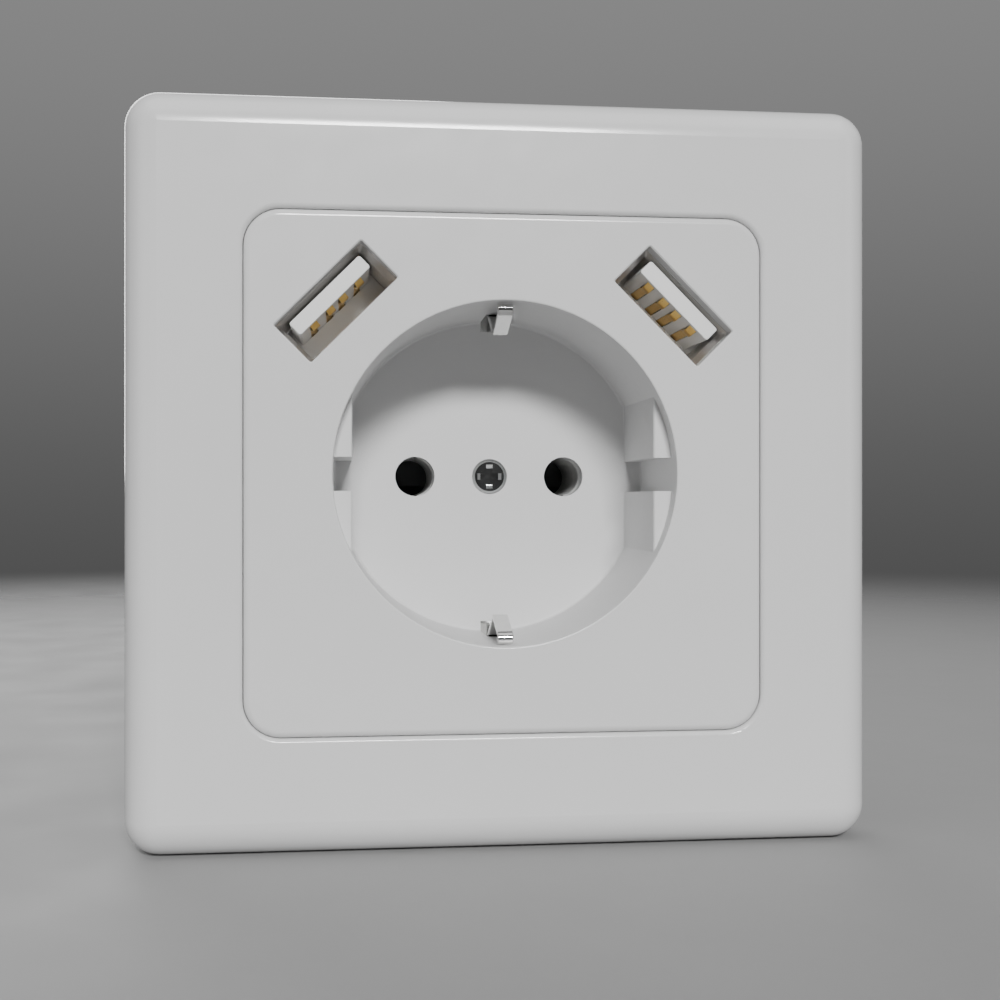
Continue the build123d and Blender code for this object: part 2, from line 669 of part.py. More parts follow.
# ---------------------------------------------------------------- claws
with BuildPart() as claw_right:
    # two toothed cheeks
    with BuildSketch(Plane.XY.offset(claw_z - claw_w / 2)):
        with BuildLine():
            Polyline(
                (20.2, 14.6), (25.9, 14.6), (26.2, 15.4), (26.3, 22.6), (25.7, 23.3), (26.3, 24.0), (25.7, 24.7),
                (26.3, 25.4), (25.7, 26.1), (26.3, 27.0), (24.4, 27.0), (22.4, 18.6), (20.2, 17.4), close=True,
            )
        make_face()
        with Locations((claw_pivot_x, claw_pivot_y)):
            Circle(1.4)
        with Locations((claw_pivot_x, claw_pivot_y)):
            Circle(claw_pin_r + 0.05, mode=Mode.SUBTRACT)
    extrude(amount=claw_w)
    with BuildSketch(Plane.XY.offset(claw_z - claw_w / 2 + claw_t)):
        with Locations((claw_pivot_x + 4, 20)):
            Rectangle(20, 30)
    extrude(amount=claw_w - 2 * claw_t, mode=Mode.SUBTRACT)
    # web that the screw passes through, forked at its outer end
    with BuildSketch(Plane.XY.offset(claw_z - claw_w / 2 + claw_t / 2)):
        with Locations((23.95, claw_pivot_y)):
            Rectangle(4.5, claw_t)
    extrude(amount=claw_w - claw_t)
    with BuildSketch(at(claw_pivot_y + 1)):
        with BuildLine():
            Polyline((30, claw_z - 1.75), (claw_x, claw_z - 1.75), (claw_x, claw_z + 1.75), (30, claw_z + 1.75), close=True)
        make_face()
        with Locations((claw_x, claw_z)):
            Circle(1.8)
    extrude(amount=2.0, mode=Mode.SUBTRACT)
claw_right.part.label = "claw_right"
export_step(claw_right.part, "parts/claw_right.step")

with BuildPart() as claw_left:
    mirror(claw_right.part, about=Plane.YZ)
claw_left.part.label = "claw_left"
export_step(claw_left.part, "parts/claw_left.step")

with BuildPart() as claw_screw_right:
    with BuildSketch(at(-ring_t - 0.1)):
        with Locations((claw_x, claw_z)):
            Circle(2.6)
    extrude(amount=2.0)
    fillet(claw_screw_right.faces().sort_by(Axis.Y)[0].edges(), 0.6)
    with BuildSketch(at(24.0)):
        with Locations((claw_x, claw_z)):
            Circle(screw_r)
    extrude(amount=24.0 + ring_t + 0.2)
    chamfer(claw_screw_right.faces().sort_by(Axis.Y)[-1].edges(), 0.4)
    with BuildSketch(at(-ring_t - 2.1)):
        with Locations((claw_x, claw_z)):
            Rectangle(6.0, 0.8)
            Rectangle(0.8, 3.0)
    extrude(amount=-1.0, mode=Mode.SUBTRACT)
claw_screw_right.part.label = "claw_screw_right"
export_step(claw_screw_right.part, "parts/claw_screw_right.step")

with BuildPart() as claw_screw_left:
    mirror(claw_screw_right.part, about=Plane.YZ)
claw_screw_left.part.label = "claw_screw_left"
export_step(claw_screw_left.part, "parts/claw_screw_left.step")

with BuildPart() as claw_nut_right:
    with BuildSketch(at(19.2)):
        with Locations((claw_x, claw_z)):
            Rectangle(4.0, 3.8)
    extrude(amount=2.5)
    fillet(claw_nut_right.edges().filter_by(Axis.Y), 0.4)
    with BuildSketch(at(19.2)):
        with Locations((claw_x, claw_z)):
            Circle(screw_r + 0.05)
    extrude(amount=2.5, mode=Mode.SUBTRACT)
claw_nut_right.part.label = "claw_nut_right"
export_step(claw_nut_right.part, "parts/claw_nut_right.step")

with BuildPart() as claw_nut_left:
    mirror(claw_nut_right.part, about=Plane.YZ)
claw_nut_left.part.label = "claw_nut_left"
export_step(claw_nut_left.part, "parts/claw_nut_left.step")

with BuildPart() as claw_pins:
    with BuildSketch(Plane.XY.offset(claw_z - 4.6)):
        with Locations((-claw_pivot_x, claw_pivot_y), (claw_pivot_x, claw_pivot_y)):
            Circle(claw_pin_r)
    extrude(amount=9.2)
claw_pins.part.label = "claw_pins"
export_step(claw_pins.part, "parts/claw_pins.step")

# ---------------------------------------------------------------- USB ports
shell_mouth_y = face_y + plate_t + 0.12
with BuildPart() as usb_shell_right:
    # flared mouth behind the plate's window, then a plain tube to the board
    with BuildSketch(usb_at(shell_mouth_y)):
        RectangleRounded(usb_window_w + 0.6, usb_window_h + 0.6, 0.6)
    with BuildSketch(usb_at(shell_mouth_y + usb_flare)):
        RectangleRounded(usb_shell_w, usb_shell_h, 0.6)
    loft()
    with BuildSketch(usb_at(usb_board_y)):
        RectangleRounded(usb_shell_w, usb_shell_h, 0.6)
    extrude(amount=usb_board_y - shell_mouth_y - usb_flare + 0.05)
    with BuildSketch(usb_at(shell_mouth_y)):
        RectangleRounded(usb_window_w, usb_window_h, 0.3)
    with BuildSketch(usb_at(shell_mouth_y + usb_flare)):
        RectangleRounded(usb_shell_w - 2 * usb_sheet, usb_shell_h - 2 * usb_sheet, 0.3)
    loft(mode=Mode.SUBTRACT)
    with BuildSketch(usb_at(usb_board_y)):
        RectangleRounded(usb_shell_w - 2 * usb_sheet, usb_shell_h - 2 * usb_sheet, 0.3)
    extrude(amount=usb_board_y - shell_mouth_y - usb_flare, mode=Mode.SUBTRACT)
    # solder legs
    with BuildSketch(usb_at(2.5)):
        with Locations((-usb_shell_w / 2 + usb_sheet / 2, -0.6), (usb_shell_w / 2 - usb_sheet / 2, -0.6)):
            Rectangle(usb_sheet, 1.6)
    extrude(amount=2.5 - usb_board_y + 0.3)
usb_shell_right.part.label = "usb_shell_right"
export_step(usb_shell_right.part, "parts/usb_shell_right.step")

with BuildPart() as usb_shell_left:
    mirror(usb_shell_right.part, about=Plane.YZ)
usb_shell_left.part.label = "usb_shell_left"
export_step(usb_shell_left.part, "parts/usb_shell_left.step")

tongue_inner = usb_tongue_shift - usb_tongue_t / 2
with BuildPart() as usb_tongue_right:
    with BuildSketch(usb_at(usb_board_y)):
        RectangleRounded(12.4, 5.0, 0.2)
    extrude(amount=usb_block_t)
    with BuildSketch(usb_at(usb_board_y - usb_block_t / 2)):
        with Locations((0, usb_tongue_shift)):
            RectangleRounded(usb_tongue_w, usb_tongue_t, 0.3)
    extrude(amount=usb_board_y - usb_block_t / 2 - face_y - usb_tongue_front)
    fillet(usb_tongue_right.faces().sort_by(Axis.Y)[0].edges(), 0.12)
    # grooves for the contacts, through to the board
    with BuildSketch(usb_at(usb_board_y)):
        with Locations(*[(p, tongue_inner + 0.2) for p in usb_pin_pitch]):
            Rectangle(1.16, 0.52)
    extrude(amount=usb_board_y + 10.0, mode=Mode.SUBTRACT)
usb_tongue_right.part.label = "usb_tongue_right"
export_step(usb_tongue_right.part, "parts/usb_tongue_right.step")

with BuildPart() as usb_tongue_left:
    mirror(usb_tongue_right.part, about=Plane.YZ)
usb_tongue_left.part.label = "usb_tongue_left"
export_step(usb_tongue_left.part, "parts/usb_tongue_left.step")

with BuildPart() as usb_contacts_right:
    for pitch in usb_pin_pitch:
        k = (pitch - 0.5) / 2 ** 0.5
        with BuildSketch(
            Plane(origin=(usb_offset + k, 0, usb_offset - k), x_dir=(0, 1, 0), z_dir=(1, 0, -1))
        ):
            with BuildLine():
                offset(
                    FilletPolyline(
                        (-9.75, tongue_inner + 0.22), (-8.9, tongue_inner - 0.42), (-7.9, tongue_inner - 0.42),
                        (-5.2, tongue_inner + 0.22), (2.4, tongue_inner + 0.22), radius=0.35, mode=Mode.PRIVATE,
                    ),
                    amount=0.13,
                )
            make_face()
        extrude(amount=1.0)
usb_contacts_right.part.label = "usb_contacts_right"
export_step(usb_contacts_right.part, "parts/usb_contacts_right.step")

with BuildPart() as usb_contacts_left:
    mirror(usb_contacts_right.part, about=Plane.YZ)
usb_contacts_left.part.label = "usb_contacts_left"
export_step(usb_contacts_left.part, "parts/usb_contacts_left.step")

# ---------------------------------------------------------------- front circuit board
with BuildPart() as usb_board:
    with BuildSketch(at(usb_board_y + usb_board_t)):
        Circle(usb_board_r)
        Circle(usb_board_inner_r, mode=Mode.SUBTRACT)
        with Locations((0, usb_board_z - 40)):
            Rectangle(80, 80, mode=Mode.SUBTRACT)
    extrude(amount=usb_board_t)
    for side in (-1, 1):
        with BuildSketch(
            Plane(origin=(side * usb_offset, usb_board_y + usb_board_t, usb_offset), x_dir=(1, 0, -side), z_dir=(0, -1, 0))
        ):
            with Locations(*[(p, tongue_inner + 0.22) for p in usb_pin_pitch]):
                Rectangle(1.3, 0.6)
            with Locations((-usb_shell_w / 2 + usb_sheet / 2, -0.6), (usb_shell_w / 2 - usb_sheet / 2, -0.6)):
                Rectangle(0.6, 2.0)
        extrude(amount=usb_board_t, mode=Mode.SUBTRACT)
usb_board.part.label = "usb_board"
export_step(usb_board.part, "parts/usb_board.step")

with BuildPart() as usb_wires:
    with BuildSketch(at(power_board_y)):
        with Locations(*usb_wire_spots):
            Circle(0.55)
    extrude(amount=power_board_y - usb_board_y - usb_board_t)
usb_wires.part.label = "usb_wires"
export_step(usb_wires.part, "parts/usb_wires.step")

# ---------------------------------------------------------------- supply board and what is on it
with BuildPart() as power_board:
    with BuildSketch(at(power_board_y + power_board_t)):
        Circle(power_board_r)
        with Locations((0, power_board_z - 40)):
            Rectangle(80, 80, mode=Mode.SUBTRACT)
        with Locations((-pin_x, 7.0), (pin_x, 7.0)):
            Rectangle(2.8, 1.2, mode=Mode.SUBTRACT)
        with Locations(*cover_screw_spots[2:]):
            Circle(2.7, mode=Mode.SUBTRACT)
    extrude(amount=power_board_t)
power_board.part.label = "power_board"
export_step(power_board.part, "parts/power_board.step")

with BuildPart() as transformer_core:
    with BuildSketch(at(27.2)):
        with Locations((-5.4, 16.0)):
            Rectangle(13.0, 5.6)
    extrude(amount=12.4)
    with BuildSketch(at(25.0)):
        with Locations((-5.4 - 3.35, 16.0), (-5.4 + 3.35, 16.0)):
            Rectangle(3.0, 5.6)
    extrude(amount=8.0, mode=Mode.SUBTRACT)
transformer_core.part.label = "transformer_core"
export_step(transformer_core.part, "parts/transformer_core.step")

with BuildPart() as transformer_bobbin:
    with BuildSketch(at(24.9)):
        with Locations((-5.4, 16.0)):
            RectangleRounded(9.4, 11.2, 1.5)
            Rectangle(3.8, 5.7, mode=Mode.SUBTRACT)
    extrude(amount=7.8)
    # pin rails down to the board
    with BuildSketch(at(power_board_y)):
        with Locations((-5.4, 10.9), (-5.4, 21.1)):
            Rectangle(9.4, 1.8)
    extrude(amount=power_board_y - 24.0)
transformer_bobbin.part.label = "transformer_bobbin"
export_step(transformer_bobbin.part, "parts/transformer_bobbin.step")

with BuildPart() as input_capacitor:
    with BuildSketch(at(power_board_y)):
        with Locations((7.2, 15.6)):
            Circle(4.0)
    extrude(amount=12.5)
    fillet(input_capacitor.edges().filter_by(GeomType.CIRCLE), 0.5)
input_capacitor.part.label = "input_capacitor"
export_step(input_capacitor.part, "parts/input_capacitor.step")

with BuildPart() as output_capacitors:
    with BuildSketch(at(power_board_y)):
        with Locations((-16.7, 10.0), (-15.6, 16.6)):
            Circle(3.15)
    extrude(amount=9.0)
    fillet(output_capacitors.edges().filter_by(GeomType.CIRCLE), 0.4)
output_capacitors.part.label = "output_capacitors"
export_step(output_capacitors.part, "parts/output_capacitors.step")

with BuildPart() as choke:
    with BuildSketch(at(power_board_y)):
        with Locations((15.6, 15.2)):
            Circle(3.0)
    extrude(amount=8.0)
    with BuildSketch(at(power_board_y - 1.0)):
        with Locations((15.6, 15.2)):
            Circle(3.2)
            Circle(2.5, mode=Mode.SUBTRACT)
    extrude(amount=6.0, mode=Mode.SUBTRACT)
choke.part.label = "choke"
export_step(choke.part, "parts/choke.step")

with BuildPart() as y_capacitor:
    with BuildSketch(Plane.XY.offset(7.4)):
        with Locations((0.5, 24.4)):
            Circle(3.5)
    extrude(amount=2.4)
    with BuildSketch(Plane.XY.offset(8.3)):
        with Locations((-1.5, 27.4), (2.5, 27.4)):
            Rectangle(0.6, 2.0)
    extrude(amount=0.6)
    fillet(y_capacitor.edges().filter_by(GeomType.CIRCLE).filter_by(lambda e: abs(e.radius - 3.5) < 1e-3 and e.length > 10), 0.8)
y_capacitor.part.label = "y_capacitor"
export_step(y_capacitor.part, "parts/y_capacitor.step")

with BuildPart() as bridge_rectifier:
    with BuildSketch(at(power_board_y)):
        with Locations((11.2, 20.9)):
            Rectangle(4.0, 3.0)
    extrude(amount=2.6)
    chamfer(bridge_rectifier.faces().sort_by(Axis.Y)[0].edges(), 0.3)
bridge_rectifier.part.label = "bridge_rectifier"
export_step(bridge_rectifier.part, "parts/bridge_rectifier.step")

with BuildPart() as fuse_resistor:
    with BuildSketch(at(power_board_y)):
        with Locations((14.4, 8.6)):
            Circle(1.6)
    extrude(amount=9.0)
    fillet(fuse_resistor.edges().filter_by(GeomType.CIRCLE), 0.6)
fuse_resistor.part.label = "fuse_resistor"
export_step(fuse_resistor.part, "parts/fuse_resistor.step")

with BuildPart() as controller_chip:
    with BuildSketch(at(power_board_y + power_board_t + 1.4)):
        with Locations((-1.0, 14.0)):
            Rectangle(4.9, 3.9)
    extrude(amount=1.4)
    chamfer(controller_chip.faces().sort_by(Axis.Y)[-1].edges(), 0.3)
controller_chip.part.label = "controller_chip"
export_step(controller_chip.part, "parts/controller_chip.step")
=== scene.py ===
import bpy, bmesh, math
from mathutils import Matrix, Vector


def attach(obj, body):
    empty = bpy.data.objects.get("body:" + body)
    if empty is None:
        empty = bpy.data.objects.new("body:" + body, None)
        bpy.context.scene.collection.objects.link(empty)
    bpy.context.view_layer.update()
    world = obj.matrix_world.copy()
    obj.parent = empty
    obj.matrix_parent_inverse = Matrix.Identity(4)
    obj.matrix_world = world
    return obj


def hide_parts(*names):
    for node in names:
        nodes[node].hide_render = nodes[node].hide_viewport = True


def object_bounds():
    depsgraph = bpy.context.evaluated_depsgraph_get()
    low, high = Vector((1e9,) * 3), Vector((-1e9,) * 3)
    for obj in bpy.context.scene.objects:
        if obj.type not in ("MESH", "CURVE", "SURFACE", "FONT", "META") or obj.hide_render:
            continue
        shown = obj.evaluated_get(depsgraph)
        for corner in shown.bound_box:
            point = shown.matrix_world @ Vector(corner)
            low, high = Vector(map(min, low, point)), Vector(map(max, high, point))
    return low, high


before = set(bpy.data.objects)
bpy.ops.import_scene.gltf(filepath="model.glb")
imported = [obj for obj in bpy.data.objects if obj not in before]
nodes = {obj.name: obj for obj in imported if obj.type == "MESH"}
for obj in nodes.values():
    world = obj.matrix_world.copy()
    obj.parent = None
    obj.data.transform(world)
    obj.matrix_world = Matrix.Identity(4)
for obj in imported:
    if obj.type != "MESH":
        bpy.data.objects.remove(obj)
cad_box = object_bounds()
scene = bpy.context.scene

# ------------------------------------------------------------------ camera
cam_data = bpy.data.cameras.new("camera")
cam = bpy.data.objects.new("camera", cam_data)
scene.collection.objects.link(cam)
cam_data.lens, cam_data.sensor_width = 50.0, 36.0
cam_data.clip_start, cam_data.clip_end = 0.005, 20.0
cam.location = (-0.018273, -0.167572, -0.002986)
cam.rotation_euler = (math.radians(90.0), 0.0, math.radians(-6.358))
scene.camera = cam


# ------------------------------------------------------------------ node helpers
class Mat:
    """A material being built: a shader, object coordinates and short calls for texture nodes."""

    def __init__(self, name, **sockets):
        self.m = bpy.data.materials.new(name)
        self.m.use_nodes = True
        self.t = self.m.node_tree
        self.t.nodes.clear()
        self.out = self.t.nodes.new("ShaderNodeOutputMaterial")
        self.b = self.t.nodes.new("ShaderNodeBsdfPrincipled")
        self.t.links.new(self.b.outputs[0], self.out.inputs[0])
        self.co = self.t.nodes.new("ShaderNodeTexCoord").outputs["Object"]
        self.bumps = []
        for k, v in sockets.items():
            self.b.inputs[k.replace("_", " ")].default_value = v

    def link(self, a, b):
        self.t.links.new(a, b)

    def stretched(self, x=1.0, y=1.0, z=1.0, rot=(0, 0, 0)):
        n = self.t.nodes.new("ShaderNodeMapping")
        n.inputs["Scale"].default_value = (x, y, z)
        n.inputs["Rotation"].default_value = rot
        self.link(self.co, n.inputs["Vector"])
        return n.outputs[0]

    def noise(self, scale, detail=2.0, rough=0.5, co=None):
        n = self.t.nodes.new("ShaderNodeTexNoise")
        n.inputs["Scale"].default_value = scale
        n.inputs["Detail"].default_value = detail
        n.inputs["Roughness"].default_value = rough
        self.link(co or self.co, n.inputs["Vector"])
        return n.outputs["Fac"]

    def cells(self, scale, feature="F1", out="Distance", co=None):
        n = self.t.nodes.new("ShaderNodeTexVoronoi")
        n.feature = feature
        n.inputs["Scale"].default_value = scale
        self.link(co or self.co, n.inputs["Vector"])
        return n.outputs[out]

    def wave(self, scale, axis="X", distortion=0.0, co=None, kind="BANDS"):
        n = self.t.nodes.new("ShaderNodeTexWave")
        n.wave_type = kind
        if kind == "BANDS":
            n.bands_direction = axis
        else:
            n.rings_direction = axis
        n.inputs["Scale"].default_value = scale
        n.inputs["Distortion"].default_value = distortion
        n.inputs["Detail"].default_value = 1.0
        self.link(co or self.co, n.inputs["Vector"])
        return n.outputs["Fac"]

    def spread(self, fac, low, high, a=0.0, b=1.0):
        n = self.t.nodes.new("ShaderNodeMapRange")
        n.inputs["From Min"].default_value = a
        n.inputs["From Max"].default_value = b
        n.inputs["To Min"].default_value = low
        n.inputs["To Max"].default_value = high
        self.link(fac, n.inputs["Value"])
        return n.outputs[0]

    def ramp(self, fac, *stops):
        n = self.t.nodes.new("ShaderNodeValToRGB")
        e = n.color_ramp.elements
        while len(e) < len(stops):
            e.new(0.5)
        for k, (p, c) in enumerate(stops):
            e[k].position = p
            e[k].color = (*c, 1.0)
        self.link(fac, n.inputs["Fac"])
        return n.outputs["Color"]

    def mix(self, fac, a, b):
        n = self.t.nodes.new("ShaderNodeMix")
        n.data_type = "RGBA"
        for v, s in ((fac, n.inputs[0]), (a, n.inputs[6]), (b, n.inputs[7])):
            if isinstance(v, bpy.types.NodeSocket):
                self.link(v, s)
            elif isinstance(v, tuple):
                s.default_value = (*v, 1.0)
            else:
                s.default_value = v
        return n.outputs[2]

    def math(self, op, a, b=0.0):
        n = self.t.nodes.new("ShaderNodeMath")
        n.operation = op
        for v, s in ((a, n.inputs[0]), (b, n.inputs[1])):
            if isinstance(v, bpy.types.NodeSocket):
                self.link(v, s)
            else:
                s.default_value = v
        return n.outputs[0]

    def color(self, v):
        self.link(v, self.b.inputs["Base Color"])
        return self

    def rough(self, v):
        self.link(v, self.b.inputs["Roughness"])
        return self

    def bump(self, height, metres, strength=1.0):
        """Adds relief: height 0..1 stands for this many metres."""
        n = self.t.nodes.new("ShaderNodeBump")
        n.inputs["Strength"].default_value = strength
        n.inputs["Distance"].default_value = metres
        self.link(height, n.inputs["Height"])
        if self.bumps:
            self.link(self.bumps[-1].outputs[0], n.inputs["Normal"])
        self.bumps.append(n)
        self.link(n.outputs[0], self.b.inputs["Normal"])
        return self


def moulded(name, color, rough_low, rough_high, vary=0.02, peel=1.0e-6, grain=0.0, ior=1.5, spec=0.5):
    """Moulded plastic: faint colour drift, uneven gloss, the skin's slight waviness, and a fine grain if asked."""
    m = Mat(name, IOR=ior, Specular_IOR_Level=spec)
    drift = m.noise(45.0, 3.0, 0.55)
    lo = tuple(c * (1 - vary) for c in color)
    hi = tuple(min(1.0, c * (1 + vary)) for c in color)
    m.color(m.ramp(drift, (0.35, lo), (0.65, hi)))
    m.rough(m.spread(m.noise(260.0, 4.0, 0.6), rough_low, rough_high, 0.3, 0.7))
    m.bump(m.noise(240.0, 2.0, 0.5), peel)
    if grain:
        m.bump(m.noise(9000.0, 3.0, 0.6), grain)
    return m


def dull_inside(m, radius, rough_low, rough_high):
    """Duller moulding inside a round recess about the Y axis: the tool's core isn't polished like its face."""
    part = m.t.nodes.new("ShaderNodeSeparateXYZ")
    m.link(m.co, part.inputs[0])
    away = m.math("SQRT", m.math("ADD", m.math("POWER", part.outputs[0], 2.0), m.math("POWER", part.outputs[2], 2.0)))
    side = m.spread(away, 1.0, 0.0, radius - 0.00002, radius + 0.00025)
    deep = m.spread(part.outputs[1], 0.0, 1.0, -0.0109, -0.0104)
    inside = m.math("MULTIPLY", side, deep)
    face = m.b.inputs["Roughness"].links[0].from_socket
    core = m.spread(m.noise(900.0, 4.0, 0.6), rough_low, rough_high, 0.3, 0.7)
    n = m.t.nodes.new("ShaderNodeMix")
    m.link(inside, n.inputs[0])
    m.link(face, n.inputs[2])
    m.link(core, n.inputs[3])
    m.rough(n.outputs[0])
    return m


def rolled(name, color, dark, rough_low, rough_high, along="X", scratch=1.5e-6, tarnish=0.35):
    """Rolled or turned metal: fine streaks along one axis, duller patches and a little tarnish."""
    m = Mat(name, Metallic=1.0)
    k = {"X": (1, 40, 40), "Y": (40, 1, 40), "Z": (40, 40, 1)}[along]
    streak = m.noise(220.0, 3.0, 0.65, m.stretched(*k))
    cloud = m.noise(380.0, 4.0, 0.6)
    base = m.ramp(cloud, (0.3, dark), (0.3 + tarnish, color))
    m.color(m.mix(m.spread(streak, 0.0, 0.35, 0.35, 0.75), base, tuple(c * 0.82 for c in color)))
    m.rough(m.spread(streak, rough_low, rough_high, 0.3, 0.7))
    m.bump(streak, scratch)
    return m.m


# ------------------------------------------------------------------ materials
white_frame = moulded("white_gloss_frame", (0.68, 0.68, 0.68), 0.13, 0.18, 0.012).m
white_plate = dull_inside(moulded("white_gloss_plate", (0.68, 0.68, 0.68), 0.15, 0.21, 0.012), 0.0197, 0.42, 0.52).m
base_dark = moulded("base_moulding", (0.055, 0.056, 0.060), 0.42, 0.58, 0.12, 6e-6, 4e-6).m
cover_grey = moulded("cover_moulding", (0.155, 0.160, 0.168), 0.40, 0.55, 0.06, 6e-6, 4e-6).m
tongue_white = moulded("tongue_moulding", (0.77, 0.77, 0.76), 0.36, 0.48, 0.02, 3e-6, 1e-6).m


def galvanised():
    m = Mat("galvanised_sheet", Metallic=1.0)
    spangle = m.cells(330.0, "F1", "Color")
    fine = m.noise(2600.0, 3.0, 0.6)
    tone = m.t.nodes.new("ShaderNodeSeparateColor")
    m.link(spangle, tone.inputs[0])
    m.color(m.ramp(tone.outputs[0], (0.0, (0.43, 0.45, 0.47)), (0.5, (0.55, 0.57, 0.59)), (1.0, (0.66, 0.68, 0.70))))
    m.rough(m.math("ADD", m.spread(tone.outputs[1], 0.28, 0.46), m.spread(fine, -0.03, 0.05, 0.3, 0.7)))
    m.bump(m.cells(330.0, "DISTANCE_TO_EDGE"), 1.5e-6)
    m.bump(fine, 1.2e-6)
    return m.m


zinc_sheet = galvanised()
nickel = rolled("nickel_strip", (0.80, 0.80, 0.79), (0.70, 0.70, 0.69), 0.06, 0.13, "Y", 0.3e-6)
strap_brass = rolled("strap_brass", (0.78, 0.60, 0.30), (0.58, 0.42, 0.18), 0.24, 0.38, "Z")
jaw_brass = rolled("tinned_jaw", (0.80, 0.80, 0.79), (0.66, 0.66, 0.65), 0.40, 0.55, "Y")
jaw_brass.node_tree.nodes["Principled BSDF"].inputs["Metallic"].default_value = 0.5
gilt = rolled("gilt_contact", (0.95, 0.66, 0.22), (0.84, 0.52, 0.14), 0.26, 0.38, "Y", 0.4e-6, 0.25)
shell_steel = rolled("shell_steel", (0.87, 0.85, 0.83), (0.75, 0.73, 0.71), 0.36, 0.50, "Y", 1.0e-6)
cage_steel = rolled("passivated_steel", (0.66, 0.60, 0.44), (0.50, 0.46, 0.36), 0.26, 0.42, "X")


def turned(name, color, dark, rough_low, rough_high, centre):
    """A screw: turning rings round its own axis, which runs along Y through centre."""
    m = Mat(name, Metallic=1.0)
    n = m.t.nodes.new("ShaderNodeMapping")
    n.inputs["Location"].default_value = (-centre[0], 0.0, -centre[1])
    m.link(m.co, n.inputs["Vector"])
    rings = m.wave(5200.0, "Y", 1.5, n.outputs[0], "RINGS")
    cloud = m.noise(900.0, 4.0, 0.65)
    m.color(m.ramp(cloud, (0.30, dark), (0.62, color)))
    m.rough(m.math("ADD", m.spread(rings, rough_low, rough_high), m.spread(cloud, 0.05, -0.04, 0.3, 0.7)))
    m.bump(rings, 0.7e-6)
    return m.m


def board():
    m = Mat("board_laminate", IOR=1.5, Coat_Weight=0.4, Coat_Roughness=0.12)
    weave = m.math("MULTIPLY", m.wave(700.0, "X"), m.wave(700.0, "Z"))
    tracks = m.cells(420.0, "DISTANCE_TO_EDGE", "Distance", m.stretched(1.0, 0.05, 1.0))
    track = m.spread(tracks, 1.0, 0.0, 0.02, 0.09)
    green = m.ramp(weave, (0.0, (0.010, 0.085, 0.035)), (1.0, (0.016, 0.115, 0.048)))
    m.color(m.mix(track, green, (0.030, 0.170, 0.070)))
    m.rough(m.spread(weave, 0.30, 0.44))
    m.bump(track, 2.5e-5)
    m.bump(weave, 3e-6)
    return m.m


laminate = board()


def speckled(name, a, b, rough_low, rough_high, scale=3500.0, metallic=0.0, relief=5e-6):
    m = Mat(name, Metallic=metallic)
    grains = m.noise(scale, 4.0, 0.7)
    m.color(m.ramp(grains, (0.38, a), (0.62, b)))
    m.rough(m.spread(grains, rough_low, rough_high, 0.3, 0.7))
    m.bump(grains, relief)
    return m.m


ferrite = speckled("ferrite", (0.018, 0.018, 0.019), (0.050, 0.050, 0.052), 0.45, 0.65, 4200.0)
epoxy = speckled("moulded_epoxy", (0.012, 0.012, 0.013), (0.024, 0.024, 0.026), 0.40, 0.55, 6000.0, 0.0, 3e-6)
cement = speckled("cement_coating", (0.10, 0.16, 0.13), (0.17, 0.24, 0.20), 0.50, 0.68, 5000.0)
dipped = speckled("dipped_coating", (0.03, 0.09, 0.28), (0.05, 0.13, 0.36), 0.18, 0.30, 1400.0, 0.0, 8e-6)


def tape():
    m = Mat("winding_tape", IOR=1.48)
    turns = m.wave(420.0, "Y", 0.6)
    m.color(m.ramp(turns, (0.0, (0.52, 0.34, 0.03)), (0.25, (0.74, 0.53, 0.07)), (1.0, (0.80, 0.60, 0.10))))
    m.rough(m.spread(m.noise(1200.0), 0.22, 0.36, 0.3, 0.7))
    m.bump(turns, 3e-5)
    return m.m


def sleeve():
    m = Mat("shrink_sleeve", IOR=1.5, Coat_Weight=0.3, Coat_Roughness=0.1)
    c = m.noise(600.0, 3.0, 0.6)
    m.color(m.ramp(c, (0.3, (0.012, 0.014, 0.028)), (0.7, (0.020, 0.024, 0.046))))
    m.rough(m.spread(c, 0.24, 0.36, 0.3, 0.7))
    m.bump(m.noise(1500.0, 2.0), 1.2e-5)
    return m.m


def insulation():
    m = Mat("wire_insulation", IOR=1.49)
    c = m.noise(800.0, 3.0, 0.6)
    m.color(m.ramp(c, (0.3, (0.42, 0.020, 0.016)), (0.7, (0.52, 0.030, 0.022))))
    m.rough(m.spread(c, 0.30, 0.42, 0.3, 0.7))
    m.bump(m.noise(3000.0, 2.0), 4e-6)
    return m.m


winding_tape, shrink_sleeve, wire_red = tape(), sleeve(), insulation()

screw_tones = dict(color=(0.56, 0.56, 0.55), dark=(0.36, 0.36, 0.36), rough_low=0.24, rough_high=0.36)
centre_steel = turned("centre_screw_steel", (0.74, 0.75, 0.75), (0.66, 0.67, 0.67), 0.06, 0.11, (0.0, 0.0))
term_l = turned("line_screw_steel", centre=(-0.014, -0.012), **screw_tones)
term_n = turned("neutral_screw_steel", centre=(0.014, -0.012), **screw_tones)
term_e = turned("earth_screw_steel", centre=(0.0, -0.0203), **screw_tones)
claw_l = turned("claw_screw_steel_left", centre=(-0.0242, -0.007), **screw_tones)
claw_r = turned("claw_screw_steel_right", centre=(0.0242, -0.007), **screw_tones)
small_steel = rolled("small_screw_steel", (0.56, 0.56, 0.55), (0.38, 0.38, 0.38), 0.24, 0.38, "Y")

